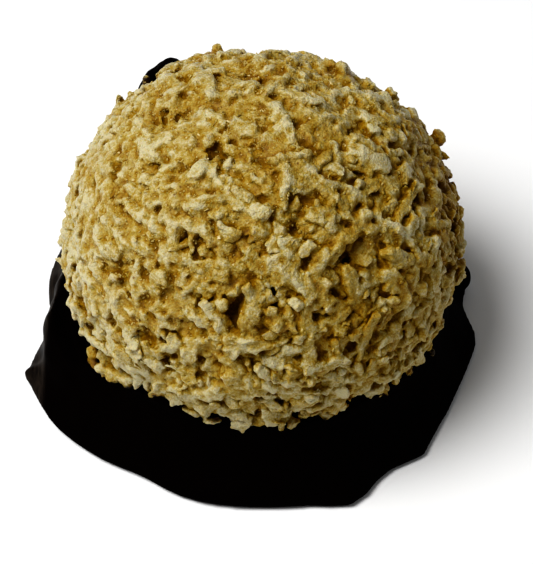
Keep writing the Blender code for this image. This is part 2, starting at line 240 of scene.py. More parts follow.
def turn_between(azimuth_a, azimuth_b):
    """Degrees from the second azimuth to the first, the short way round."""
    return (azimuth_a - azimuth_b + 180) % 360 - 180


def directions(azimuth, latitude):
    turn, rise = np.radians(azimuth), np.radians(latitude)
    flat = np.cos(rise)
    return np.stack([flat * np.cos(turn), flat * np.sin(turn), np.sin(rise)], axis=-1)


def degrees_apart(ways, azimuth, latitude):
    cosine = ways @ directions(azimuth, latitude)
    return np.degrees(np.arccos(np.clip(cosine, -1, 1)))


def noise_at(points, length):
    """Smooth noise of about this wavelength at each point."""
    return np.array([noise.noise(Vector(point) / length) for point in points])


def body_radius(ways):
    """Reach of the scooped shape, without its grain."""
    radius = np.full(len(ways), BALL_RADIUS)
    for azimuth, latitude, height, spread in BALL_LOBES:
        radius += height * bump(degrees_apart(ways, azimuth, latitude), spread)
    return radius


def pit_depth(ways):
    depth = np.zeros(len(ways))
    for azimuth, latitude, radius, deep in PITS:
        apart = np.radians(degrees_apart(ways, azimuth, latitude)) * BALL_RADIUS
        depth = np.maximum(depth, deep * np.exp(-((apart / (radius * 1.15)) ** 4)))
    return depth


def openness(ways):
    """0 where the crust is closed and glazed, 1 where it is open and flaky."""
    towards_open = np.maximum(ways @ directions(310, 0), 0)
    low = np.maximum(1 - np.degrees(np.arcsin(ways[:, 2])) / 35, 0)
    return np.clip(0.1 + 0.85 * towards_open + 0.35 * low, 0, 1)


def crust_radius(ways):
    """Reach of the crust that the shreds are laid on."""
    points = ways * BALL_RADIUS
    lumps = 0.9 * noise_at(points, 7.0) + 0.5 * noise_at(points + 50, 3.2)
    return body_radius(ways) + lumps


def edge_height(azimuth):
    """Height of the chocolate's edge round the ball."""
    level = np.full(np.shape(azimuth), EDGE_HEIGHT)
    for at, height, width in EDGE_WAVES:
        level = level + height * bump(turn_between(azimuth, at), width)
    return level


def split(points):
    """Azimuth, latitude and unit direction of points seen from the ball's centre."""
    offset = points - BALL_CENTRE
    ways = offset / np.linalg.norm(offset, axis=1)[:, None]
    azimuth = np.degrees(np.arctan2(ways[:, 1], ways[:, 0])) % 360
    return azimuth, np.degrees(np.arcsin(ways[:, 2])), ways


def off_chocolate(points):
    """How far points on the ball are from the chocolate's edge and from the run up the back."""
    azimuth, latitude, _ = split(points)
    over_edge = points[:, 2] - edge_height(azimuth)
    from_axis = np.hypot(points[:, 0] - BALL_CENTRE[0], points[:, 1] - BALL_CENTRE[1])
    turned = np.abs(np.radians(turn_between(azimuth, RUN_AZIMUTH)))
    beside_run = turned * from_axis - RUN_HALF_WIDTH
    over_run = np.radians(latitude - RUN_TOP) * BALL_RADIUS
    return np.minimum(over_edge, np.maximum(beside_run, over_run))


# Forms of the single shreds, each about 1 long, 1 wide and 1 thick


def form_of(bm):
    """Points and triangles of a shape, which is freed."""
    bmesh.ops.triangulate(bm, faces=bm.faces)
    bm.verts.ensure_lookup_table()
    points = np.array([vert.co for vert in bm.verts])
    corners = np.array([[vert.index for vert in face.verts] for face in bm.faces])
    bm.free()
    return points, corners


def rod_form(draw, sides=6, loops=3):
    """A cut strip: flat sided, uneven along its length, with worn ends."""
    bm = bmesh.new()
    bmesh.ops.create_cone(bm, cap_ends=True, segments=sides, radius1=0.5, radius2=0.5, depth=1.0)
    long_edges = [e for e in bm.edges if abs(e.verts[0].co.z - e.verts[1].co.z) > 0.5]
    bmesh.ops.subdivide_edges(bm, edges=long_edges, cuts=loops)
    taper = draw.uniform(0.45, 0.95, 2)
    wander = draw.uniform(-0.12, 0.12, 4)
    corners = {}
    for vert in bm.verts:
        along = round(vert.co.z, 3)
        turn = round(math.atan2(vert.co.y, vert.co.x), 2)
        if turn not in corners:
            square = 0.5 / max(abs(math.cos(turn)), abs(math.sin(turn))) ** 0.75
            corners[turn] = square * draw.uniform(0.86, 1.14)
        end = taper[0] if along < 0 else taper[1]
        narrow = 1 - (1 - end) * abs(2 * along) ** 3
        reach = corners[turn] * narrow * draw.uniform(0.9, 1.1)
        aside = wander[0] * math.sin(6 * along + wander[1] * 20)
        up = wander[2] * math.sin(5 * along + wander[3] * 20)
        vert.co = Vector((along, reach * math.cos(turn) + aside, reach * math.sin(turn) + up))
    bmesh.ops.recalc_face_normals(bm, faces=bm.faces)
    return form_of(bm)


def chip_form(draw):
    """A short block with blunt, uneven corners."""
    bm = bmesh.new()
    bmesh.ops.create_cube(bm, size=1.0)
    bmesh.ops.subdivide_edges(bm, edges=bm.edges, cuts=2, use_grid_fill=True)
    skew = draw.uniform(-0.3, 0.3, 3)
    for vert in bm.verts:
        round_off = vert.co.normalized() * 0.62
        place = vert.co.lerp(round_off, 0.35) + Vector(draw.uniform(-0.05, 0.05, 3))
        place.x += skew[0] * place.y
        place.y *= 1 + skew[1] * place.x
        place.z *= 1 + skew[2] * place.x
        vert.co = place
    bmesh.ops.recalc_face_normals(bm, faces=bm.faces)
    return form_of(bm)


def crumb_form(draw):
    bm = bmesh.new()
    bmesh.ops.create_icosphere(bm, subdivisions=1, radius=0.5)
    for vert in bm.verts:
        vert.co = vert.co * draw.uniform(0.75, 1.25)
    return form_of(bm)


def crystal_form(draw):
    """A grain of set syrup with flat faces."""
    bm = bmesh.new()
    bmesh.ops.create_cube(bm, size=1.0)
    for vert in bm.verts:
        vert.co += Vector(draw.uniform(-0.3, 0.3, 3))
    return form_of(bm)


def flake_form(draw):
    """A thin shaving with a ragged outline, curled and thin at its rim."""
    bm = bmesh.new()
    bmesh.ops.create_uvsphere(bm, u_segments=9, v_segments=4, radius=0.5)
    waves = draw.uniform(-0.16, 0.16, 3)
    phases = draw.uniform(0, 6.28, 3)
    curl = draw.uniform(-0.3, 0.3, 2)
    nicks = {}
    for vert in bm.verts:
        turn = math.atan2(vert.co.y, vert.co.x)
        level = math.hypot(vert.co.x, vert.co.y) * 2
        key = round(turn, 1)
        if key not in nicks:
            nicks[key] = draw.uniform(0.84, 1.12)
        outline = 1 + sum(
            wave * math.cos(petals * turn + phase)
            for petals, wave, phase in zip((2, 3, 4), waves, phases)
        )
        reach = 0.5 * level**0.45 * outline * nicks[key]
        thick = vert.co.z * (1 - 0.35 * level**2)
        lifted = curl[0] * reach**2 * math.cos(2 * turn) + curl[1] * reach**2
        vert.co = Vector((reach * math.cos(turn), reach * math.sin(turn), thick + lifted * 3))
    return form_of(bm)


# Scattering and joining


def spread_evenly(count, lowest, draw):
    """Azimuths and latitudes of points spread evenly over the ball above a latitude."""
    order = np.arange(count) + 0.5
    level = 1 - order / count * (1 - math.sin(math.radians(lowest)))
    latitude = np.degrees(np.arcsin(level))
    azimuth = order * 180 * (3 - math.sqrt(5))
    step = math.degrees(math.sqrt(2 * math.pi * (1 - math.sin(math.radians(lowest))) / count))
    latitude = np.clip(latitude + draw.normal(0, 0.35 * step, count), -89, 89)
    azimuth = azimuth + draw.normal(0, 0.35 * step, count) / np.cos(np.radians(latitude))
    return azimuth % 360, latitude


def lie(ways, heading, tilt, roll):
    """Axes of things lying on the ball, as matrices whose columns are along, across and up."""
    east = np.cross((0.0, 0.0, 1.0), ways)
    east /= np.linalg.norm(east, axis=1)[:, None]
    north = np.cross(ways, east)
    heading, tilt, roll = (np.radians(a)[:, None] for a in (heading, tilt, roll))
    level = np.cos(heading) * east + np.sin(heading) * north
    along = np.cos(tilt) * level + np.sin(tilt) * ways
    across = np.cross(ways, level)
    up = np.cross(along, across)
    rolled_across = np.cos(roll) * across + np.sin(roll) * up
    rolled_up = np.cross(along, rolled_across)
    return np.stack([along, rolled_across, rolled_up], axis=2)


def pressed(points):
    """Points moved inwards where they stood out over the scooped shape."""
    _, _, ways = split(points)
    reach = np.linalg.norm(points - BALL_CENTRE, axis=1)
    proud = np.maximum(reach - crust_radius(ways) - SCOOP_CLEAR, 0)
    return points - ways * (PRESSED_SHARE * proud)[:, None]


class Heap:
    """Many small closed forms, gathered to become one mesh."""

    def __init__(self):
        self.points, self.corners, self.tints = [], [], []
        self.count = 0

    def add(self, form, axes, centres, sizes, bends, tints, draw, wear, press=True):
        """Adds one copy of the form for each centre, sized, bent, worn and turned."""
        shape, faces = form
        copies = len(centres)
        if not copies:
            return
        local = np.repeat(shape[None], copies, axis=0) * sizes[:, None, :]
        along = shape[:, 0][None]
        local[:, :, 2] -= bends[:, None] * (4 * along**2 - 0.3)
        local += draw.normal(0, wear, local.shape)
        placed = np.einsum("nij,nvj->nvi", axes, local) + centres[:, None]
        if press:
            placed = pressed(placed.reshape(-1, 3)).reshape(placed.shape)
        starts = self.count + len(shape) * np.arange(copies)
        self.points.append(placed.reshape(-1, 3))
        self.corners.append((faces[None] + starts[:, None, None]).reshape(-1, 3))
        self.tints.append(np.repeat(tints, len(shape)))
        self.count += len(shape) * copies

    def all_points(self):
        return np.concatenate(self.points)

    def all_corners(self):
        return np.concatenate(self.corners)

    def all_tints(self):
        return np.concatenate(self.tints)


def mesh_from(name, points, corners):
    mesh = bpy.data.meshes.new(name)
    mesh.from_pydata(points, [], corners, shade_flat=False)
    return mesh


def set_value(mesh, name, values):
    attribute = mesh.attributes.new(name, "FLOAT", "POINT")
    attribute.data.foreach_set("value", np.asarray(values, dtype=np.float32))


def get_value(mesh, name):
    values = np.empty(len(mesh.vertices), dtype=np.float32)
    mesh.attributes[name].data.foreach_get("value", values)
    return values.astype(float)


def vertex_vectors(mesh, what):
    flat = np.empty(len(mesh.vertices) * 3, dtype=np.float32)
    mesh.vertices.foreach_get(what, flat)
    return flat.reshape(-1, 3).astype(float)


def mesh_points(mesh):
    return vertex_vectors(mesh, "co")


def mesh_normals(mesh):
    return vertex_vectors(mesh, "normal")


def move_points(mesh, points):
    mesh.vertices.foreach_set("co", points.astype(np.float32).ravel())


def finish_piece(name, mesh, material):
    """Makes a mesh in millimetres a finished piece in metres."""
    mesh.transform(((MM, 0, 0, 0), (0, MM, 0, 0), (0, 0, MM, 0), (0, 0, 0, 1)))
    mesh.name = name
    mesh.materials.clear()
    mesh.materials.append(material)
    piece = bpy.data.objects.new(name, mesh)
    bpy.context.scene.collection.objects.link(piece)
    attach(piece, "root")
    return piece


def with_modifiers(mesh, *steps):
    """The mesh after a row of modifiers, each given as its type and settings."""
    worker = bpy.data.objects.new("worker", mesh)
    bpy.context.scene.collection.objects.link(worker)
    for kind, settings in steps:
        modifier = worker.modifiers.new(kind, kind)
        for setting, value in settings.items():
            setattr(modifier, setting, value)
    bpy.context.view_layer.update()
    evaluated = worker.evaluated_get(bpy.context.evaluated_depsgraph_get())
    result = bpy.data.meshes.new_from_object(evaluated)
    bpy.data.objects.remove(worker)
    bpy.data.meshes.remove(mesh)
    return result


def triangles_in(mesh):
    return len(mesh.loops) - 2 * len(mesh.polygons)


def thin_to(mesh, most):
    """The mesh with its flattest triangles merged until at most this many are left."""
    share = most / triangles_in(mesh)
    if share >= 1:
        return mesh
    return with_modifiers(mesh, ("DECIMATE", {"ratio": share}))


def blurred(mesh, values, rounds):
    """A value of each vertex, averaged with its neighbours over and over."""
    ends = np.empty(len(mesh.edges) * 2, dtype=np.int32)
    mesh.edges.foreach_get("vertices", ends)
    first, second = ends[::2], ends[1::2]
    near = np.bincount(ends, minlength=len(values))
    for _ in range(rounds):
        total = np.bincount(first, values[second], len(values))
        total += np.bincount(second, values[first], len(values))
        values = 0.5 * values + 0.5 * total / np.maximum(near, 1)
    return values


def softened(mesh, points, rounds):
    """The points, each averaged with its neighbours over and over."""
    return np.stack([blurred(mesh, points[:, axis], rounds) for axis in range(3)], axis=1)


def nearest(cloud, points):
    """Index of the one of the cloud nearest to each point, and how far off it is."""
    tree = kdtree.KDTree(len(cloud))
    for index, point in enumerate(cloud):
        tree.insert(point, index)
    tree.balance()
    found = [tree.find(point) for point in points]
    return np.array([hit[1] for hit in found]), np.array([hit[2] for hit in found])


def toast_and_shade_at(points):
    """How much more or less than usual the coconut browned at each point, and how much painted shade
    darkens the right and lower front.
    """
    _, latitude, ways = split(points)
    toast_and_shade = 0.0012 * latitude
    for azimuth, at_latitude, amount, spread in TOAST_AND_SHADE:
        toast_and_shade = toast_and_shade + amount * bump(degrees_apart(ways, azimuth, at_latitude), spread)
    return toast_and_shade


# The coconut


def sizes_of(count, length, width, thick, draw):
    """Lengths, widths and thicknesses drawn round these middle sizes."""
    return np.stack(
        [
            length * np.clip(draw.lognormal(0, 0.33, count), 0.45, 2.1),
            width * np.clip(draw.normal(1, 0.22, count), 0.5, 1.6),
            thick * np.clip(draw.normal(1, 0.22, count), 0.5, 1.6),
        ],
        axis=1,
    )


def scatter(heap, forms, places, lift, size, tilt, draw, wear, closed_share):
    """Adds something at each place but the pits, and only a share where the crust is closed."""
    azimuth, latitude = places
    ways = directions(azimuth, latitude)
    count = len(ways)
    loose = openness(ways)
    shown = draw.uniform(0, 1, count) < closed_share + (1 - closed_share) * loose
    centres = BALL_CENTRE + ways * (crust_radius(ways) + lift)[:, None]
    off_pits = pit_depth(ways) < PIT_EDGE + 0.9 * np.maximum(0, -lift)
    keep = shown & off_pits & (off_chocolate(centres) > -0.8)
    heading = draw.uniform(0, 360, count)
    tilts = draw.normal(0, 1, count) * tilt * (0.45 + 1.1 * loose)
    rolls = draw.normal(0, 1, count) * tilt * (0.8 + 1.2 * loose)
    axes = lie(ways, heading, tilts, rolls)
    chunky = np.stack([1.2 - 0.1 * loose, 1 + 0.25 * loose, 1 + 0.25 * loose], axis=1)
    sizes = sizes_of(count, *size, draw) * chunky
    bends = draw.normal(0, 0.07, count) * sizes[:, 0]
    tints = draw.normal(0.5, 0.2, count)
    which = draw.integers(0, len(forms), count)
    for index, form in enumerate(forms):
        mine = keep & (which == index)
        heap.add(form, axes[mine], centres[mine], sizes[mine], bends[mine], tints[mine], draw, wear)


def add_bold_shreds(heap, rows, draw):
    """Adds one shred for each row of a table."""
    table = np.array(rows, dtype=float)
    azimuth, latitude, heading, length, width, thick, tilt, lift = table.T
    ways = directions(azimuth, latitude)
    centres = BALL_CENTRE + ways * (body_radius(ways) + lift)[:, None]
    axes = lie(ways, heading, tilt, np.zeros(len(ways)))
    sizes = np.stack([length, width, thick], axis=1)
    bends = draw.uniform(0.1, 0.3, len(ways))
    tints = draw.normal(0.55, 0.12, len(ways))
    for index in range(len(ways)):
        one = slice(index, index + 1)
        form = rod_form(draw, sides=10, loops=9)
        heap.add(form, axes[one], centres[one], sizes[one], bends[one], tints[one], draw, 0.05, False)


def core_shape():
    """Points and triangles of the coconut paste under the shreds, with its pits."""
    bm = bmesh.new()
    bmesh.ops.create_icosphere(bm, subdivisions=7, radius=1.0)
    points, corners = form_of(bm)
    ways = points / np.linalg.norm(points, axis=1)[:, None]
    sunk = 0.12 + 0.88 * openness(ways) ** 1.5
    grain = 0.5 * noise_at(ways * BALL_RADIUS, 1.2) + 0.3 * noise_at(ways * BALL_RADIUS + 9, 0.6)
    radius = crust_radius(ways) - sunk - 0.75 * pit_depth(ways) + grain
    return BALL_CENTRE + ways * radius[:, None], corners


def build_crust(settings):
    """The shreds and the paste under them, fused into one skin."""
    draw = np.random.default_rng(settings.seed)
    heap = Heap()
    forms = [rod_form(draw) for _ in range(7)] + [chip_form(draw) for _ in range(5)]
    for share, lift, spread, closed_share in FUSED_LAYERS:
        places = spread_evenly(int(settings.fused_shreds * share), FUSED_LOWEST, draw)
        loose = openness(directions(*places))
        lifts = draw.normal(lift, spread * (1 + 0.7 * loose)) * (0.6 + 0.75 * loose)
        scatter(heap, forms, places, lifts, FUSED_SIZE, 12, draw, 0.06, closed_share)
    add_bold_shreds(heap, BOLD_SHREDS, draw)
    shred_points = heap.all_points()
    core_points, core_corners = core_shape()
    points = np.concatenate([core_points, shred_points])
    corners = np.concatenate([core_corners, heap.all_corners() + len(core_points)])
    mesh = mesh_from("crust", points, corners)
    mesh = with_modifiers(mesh, ("REMESH", {"mode": "VOXEL", "voxel_size": settings.fineness}))
    drop_scraps(mesh)
    glaze(mesh)
    smooth_hidden(mesh)
    flatten_below(mesh, BALL_FLOOR)
    mesh = thin_to(mesh, CRUST_TRIANGLES)
    crumble(mesh)
    final = mesh_points(mesh)
    which, away = nearest(shred_points, final)
    set_value(mesh, "tint", np.where(away < 0.6, heap.all_tints()[which], 0.3))
    reach = np.linalg.norm(final - BALL_CENTRE, axis=1)
    set_value(mesh, "dip", blurred(mesh, reach, 12) - reach)
    set_value(mesh, "level", blurred(mesh, reach, 90))
    mesh.set_sharp_from_angle(angle=math.radians(48))
    return mesh


def crumble(mesh):
    """Roughens the surface with lumps of about a millimetre and half a millimetre."""
    points = mesh_points(mesh)
    _, _, ways = split(points)
    closed = 1 - openness(ways)
    lumps = (0.2 + 0.1 * closed) * noise_at(points, 1.2) + 0.3 * noise_at(points + 20, 0.6)
    points += mesh_normals(mesh) * lumps[:, None]
    move_points(mesh, points)


def smooth_hidden(mesh):
    """Evens out what the chocolate covers, so that few triangles are spent there."""
    points = mesh_points(mesh)
    covered = np.clip(-1.5 - off_chocolate(points), 0, 1)[:, None]
    points += covered * (softened(mesh, points, 25) - points)
    move_points(mesh, points)


def glaze(mesh):
    """Runs the closed side of the crust together, as syrup does."""
    points = mesh_points(mesh)
    _, _, ways = split(points)
    share = (0.1 + 0.6 * (1 - openness(ways)))[:, None]
    points += share * (softened(mesh, points, 2) - points)
    move_points(mesh, points)


def flatten_below(mesh, height):
    points = mesh_points(mesh)
    points[:, 2] = np.maximum(points[:, 2], height)
    move_points(mesh, points)


def drop_scraps(mesh, least=None):
    """Keeps the one large shell, or all the shells with at least this many vertices."""
    bm = bmesh.new()
    bm.from_mesh(mesh)
    left = set(bm.verts)
    shells = []
    while left:
        first = left.pop()
        shell, reached = [first], [first]
        while reached:
            vert = reached.pop()
            for link in vert.link_edges:
                other = link.other_vert(vert)
                if other in left:
                    left.discard(other)
                    shell.append(other)
                    reached.append(other)
        shells.append(shell)
    if least is None:
        least = max(len(shell) for shell in shells)
    loose = [vert for shell in shells if len(shell) < least for vert in shell]
    bmesh.ops.delete(bm, geom=loose, context="VERTS")
    bm.to_mesh(mesh)
    bm.free()


def set_into_crust(heap, crust, forms, chances, size, sink, draw, count):
    """Sets small things into the crust's own surface, more of them where the chances are higher."""
    points, normals = mesh_points(crust) / MM, mesh_normals(crust)
    chances = chances * (off_chocolate(points) > -0.5)
    chosen = draw.choice(len(points), count, replace=False, p=chances / chances.sum())
    ways = normals[chosen]
    centres = points[chosen] - sink * ways
    middle, spread, least, most = size
    wide = np.clip(middle * draw.lognormal(0, spread, count), least, most)
    long = wide * draw.uniform(0.9, 1.7, count)
    thick = wide * draw.uniform(0.5, 0.9, count)
    sizes = np.stack([long, wide, thick], axis=1)
    heading = draw.uniform(0, 360, count)
    tilt = draw.normal(0, 20, count)
    roll = draw.normal(0, 20, count)
    axes = lie(ways, heading, tilt, roll)
    straight = np.zeros(count)
    tints = draw.normal(0.5, 0.3, count)
    which = draw.integers(0, len(forms), count)
    for index, form in enumerate(forms):
        mine = which == index
        heap.add(form, axes[mine], centres[mine], sizes[mine], straight[mine], tints[mine], draw, 0.01)


def level_near(crust, points):
    """The crust's own smoothed radius nearest to each point."""
    which, _ = nearest(mesh_points(crust) / MM, points)
    return get_value(crust, "level")[which]


def build_loose(settings, kind):
    """The crisp shreds and flakes that stand on the crust, or the crumbs and sugar set in it."""
    draw = np.random.default_rng(settings.seed + 1 + LOOSE_KINDS.index(kind))
    crust = bpy.data.meshes["coconut_crust"]
    _, _, ways = split(mesh_points(crust) / MM)
    heap = Heap()
    if kind == "shreds":
        forms = [rod_form(draw) for _ in range(9)] + [chip_form(draw) for _ in range(4)]
        places = spread_evenly(settings.loose_shreds, LOOSE_LOWEST, draw)
        lifts = draw.normal(-0.35, 0.36, len(places[0]))
        scatter(heap, forms, places, lifts, SHRED_SIZE, 20, draw, 0.07, -0.35)
        add_bold_shreds(heap, STUCK_SHREDS, draw)
    elif kind == "flakes":
        forms = [flake_form(draw) for _ in range(10)]
        places = spread_evenly(settings.flakes, LOOSE_LOWEST, draw)
        lifts = draw.normal(-0.08, 0.32, len(places[0]))
        scatter(heap, forms, places, lifts, FLAKE_SIZE, 28, draw, 0.06, -0.3)
    elif kind == "crumbs":
        forms = [crumb_form(draw) for _ in range(8)]
        chances = 0.2 + openness(ways)
        set_into_crust(heap, crust, forms, chances, CRUMB_SIZE, 0.08, draw, settings.crumbs)
    else:
        forms = [crystal_form(draw) for _ in range(8)]
        valleys = np.clip(0.7 + 0.5 * get_value(crust, "dip"), 0.3, 1)
        chances = valleys * (1.05 - openness(ways)) ** 2
        set_into_crust(heap, crust, forms, chances, GRAIN_SIZE, 0.04, draw, settings.sugar)
    mesh = mesh_from(kind, heap.all_points(), heap.all_corners())
    tints = heap.all_tints()
    if kind in ("shreds", "flakes"):
        mesh = with_modifiers(mesh, ("REMESH", {"mode": "VOXEL", "voxel_size": LOOSE_FINENESS}))
        drop_scraps(mesh, LEAST_SCRAP)
        mesh = thin_to(mesh, LOOSE_TRIANGLES)
        glaze(mesh)
        crumble(mesh)
        which, _ = nearest(heap.all_points(), mesh_points(mesh))
        tints = tints[which]
    points = mesh_points(mesh)
    set_value(mesh, "tint", tints)
    set_value(mesh, "level", level_near(crust, points))
    set_value(mesh, "dip", np.full(len(points), -0.05))
    mesh.set_sharp_from_angle(angle=math.radians(5 if kind == "sugar" else 50))
    return mesh


def store_browning_and_shade(pieces, settings):
    """Stores on each vertex what the coconut's colour there depends on: its browning, and how sheltered
    and deep it lies, which the material turns into painted shade.
    """
    meshes = [piece.data for piece in pieces]
    clouds = [mesh_points(mesh) / MM for mesh in meshes]
    corners, start = [], 0
    for mesh, cloud in zip(meshes, clouds):
        corners += [[start + index for index in face.vertices] for face in mesh.polygons]
        start += len(cloud)
    every = np.concatenate(clouds)
    solid = bvhtree.BVHTree.FromPolygons(every.tolist(), corners)
    draw = np.random.default_rng(settings.seed)
    looks = draw.normal(0, 1, (settings.looks, 3))
    looks /= np.linalg.norm(looks, axis=1)[:, None]
    for mesh, cloud in zip(meshes, clouds):
        _, _, ways = split(cloud)
        normals = mesh_normals(mesh)
        hidden = np.zeros(len(cloud))
        starts = cloud + normals * 0.03
        for look in looks:
            rays = look + 0.85 * normals + 0.35 * ways
            rays /= np.linalg.norm(rays, axis=1)[:, None]
            pairs = zip(starts.tolist(), rays.tolist())
            hidden += [solid.ray_cast(at, ray, SHELTER_REACH)[0] is not None for at, ray in pairs]
        reach = np.linalg.norm(cloud - BALL_CENTRE, axis=1)
        most_hidden = 0.85 if mesh.name == "coconut_crust" else 0.5
        hidden = np.minimum(hidden / settings.looks, most_hidden)
        # Shelter and depth under the level are what the material darkens into painted shade
        set_value(mesh, "shelter", blurred(mesh, hidden, 1))
        set_value(mesh, "depth", get_value(mesh, "level") - reach)
        set_value(mesh, "toast_and_shade", toast_and_shade_at(cloud))
        set_value(mesh, "open", openness(ways))
        set_value(mesh, "smear", np.clip(1 - off_chocolate(cloud) / SMEAR_REACH, 0, 1))


# The chocolate


def build_chocolate(settings):
    """A finer coat with the solid's shape, whose edge is ragged where it meets the crust."""
    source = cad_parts["chocolate_base"].data
    bm = bmesh.new()
    bm.from_mesh(source)
    bmesh.ops.remove_doubles(bm, verts=bm.verts, dist=1e-6)
    bmesh.ops.scale(bm, vec=(1 / MM,) * 3, verts=bm.verts)
    bmesh.ops.subdivide_edges(bm, edges=[e for e in bm.edges if e.calc_length() > 1.2], cuts=1)
    bmesh.ops.triangulate(bm, faces=bm.faces)
    points = np.array([vert.co for vert in bm.verts])
    azimuth, _, ways = split(points)
    reach = np.linalg.norm(points - BALL_CENTRE, axis=1)
    # The cup's inner face is moved in under the crust, so that no gap shows at its edge
    inner = (np.abs(reach - body_radius(ways) - 0.3) < 0.3) & (points[:, 2] > 1.4)
    rim = np.clip(1 - np.abs(points[:, 2] - edge_height(azimuth)) / 1.5, 0, 1)
    ragged = rim * (0.7 * noise_at(points, 2.6) + 0.9 * noise_at(points + 30, 5.0))
    for vert, way, is_inner, up in zip(bm.verts, ways, inner, ragged):
        if is_inner:
            vert.co -= Vector(way) * 1.6
        vert.co.z += up
    mesh = bpy.data.meshes.new("chocolate")
    bm.to_mesh(mesh)
    bm.free()
    mesh = with_modifiers(mesh, ("REMESH", {"mode": "VOXEL", "voxel_size": COAT_FINENESS}))
    mesh = with_modifiers(mesh, ("SMOOTH", {"factor": 0.5, "iterations": 8}))
    drop_scraps(mesh)
    points, normals = mesh_points(mesh), mesh_normals(mesh)
    azimuth, _, ways = split(points)
    shown = np.clip((points[:, 2] - 0.6) / 1.5, 0, 1)
    near_edge = np.clip(1 - (edge_height(azimuth) - points[:, 2]) / 5.0, 0, 1)
    waves = 0.45 * noise_at(points * (1, 1, 0.35), 3.5) + 0.25 * noise_at(points, 1.6) * near_edge
    points += normals * (shown * settings.waviness * waves)[:, None]
    on_run = np.clip((points[:, 2] - edge_height(azimuth) - 2) / 3, 0, 1)
    points += on_run[:, None] * (RUN_PROUD * ways + RUN_SHIFT)
    points[:, 0] -= bump(np.linalg.norm(points - SPIKE, axis=1), 1.0)
    move_points(mesh, points)
    flatten_below(mesh, 0.0)
    mesh = thin_to(mesh, COAT_TRIANGLES)
    mesh.shade_smooth()
    points, normals = mesh_points(mesh), mesh_normals(mesh)
    # The left outer wall faces the lamp; it is marked for a lighter, streaked colour that is a painted
    # sheen, and for more gloss
    outer_wall = np.clip((-normals[:, 0] - 0.3) / 0.25, 0, 1)
    sheen_from = np.interp(points[:, 1], SHEEN_FROM_Y, SHEEN_FROM_X)
    far_left = np.clip((-points[:, 0] - sheen_from) / 0.5, 0, 1)
    ended = np.clip((points[:, 1] + 15) / 2.5, 0, 1)
    set_value(mesh, "painted_sheen", blurred(mesh, outer_wall * far_left * ended, 2))
    return mesh


# Materials


class Tree:
    """Short ways to add nodes to a material."""

    def __init__(self, name):
        self.material = bpy.data.materials.new(name)
        self.material.use_nodes = True
        self.nodes = self.material.node_tree.nodes
        self.links = self.material.node_tree.links
        self.shader = self.nodes["Principled BSDF"]

    def put(self, socket, value):
        """Links a value to a socket, or sets it there."""
        if isinstance(value, bpy.types.NodeSocket):
            self.links.new(value, socket)
        else:
            socket.default_value = value

    def add(self, kind, inputs=None, **settings):
        node = self.nodes.new(kind)
        for setting, value in settings.items():
            setattr(node, setting, value)
        for key, value in (inputs or {}).items():
            self.put(node.inputs[key], value)
        return node

    def position(self):
        return self.add("ShaderNodeTexCoord").outputs["Object"]

    def value(self, name):
        return self.add("ShaderNodeAttribute", attribute_name=name).outputs["Fac"]

    def noise(self, length, detail=2.0, roughness=0.5, vector=None):
        """Noise whose features are about this long, in millimetres."""
        made = self.add(
            "ShaderNodeTexNoise",
            {
                "Vector": vector or self.position(),
                "Scale": 1 / (length * MM),
                "Detail": detail,
                "Roughness": roughness,
            },
        )
        return made.outputs["Fac"]

    def cells(self, length, feature="F1"):
        """Distance from the middles of cells of about this size, in millimetres."""
        inputs = {"Vector": self.position(), "Scale": 1 / (length * MM)}
        return self.add("ShaderNodeTexVoronoi", inputs, feature=feature).outputs["Distance"]

    def span(self, value, low, high, to_low=0.0, to_high=1.0):
        made = self.add(
            "ShaderNodeMapRange",
            {"Value": value, "From Min": low, "From Max": high, "To Min": to_low, "To Max": to_high},
        )
        return made.outputs["Result"]

    def math(self, operation, first, second=0.0):
        made = self.add("ShaderNodeMath", operation=operation)
        self.put(made.inputs[0], first)
        self.put(made.inputs[1], second)
        return made.outputs["Value"]

    def total(self, first, *others):
        for other in others:
            first = self.math("ADD", first, other)
        return first

    def mix(self, share, first, second):
        made = self.add("ShaderNodeMix", data_type="RGBA")
        self.put(made.inputs["Factor"], share)
        self.put(made.inputs["A"], first)
        self.put(made.inputs["B"], second)
        return made.outputs["Result"]

    def bump(self, height, distance, strength, normal=None):
        """A normal bent by a height, whose full rise is this distance in mm."""
        inputs = {"Height": height, "Distance": distance * MM, "Strength": strength}
        if normal is not None:
            inputs["Normal"] = normal
        return self.add("ShaderNodeBump", inputs).outputs["Normal"]


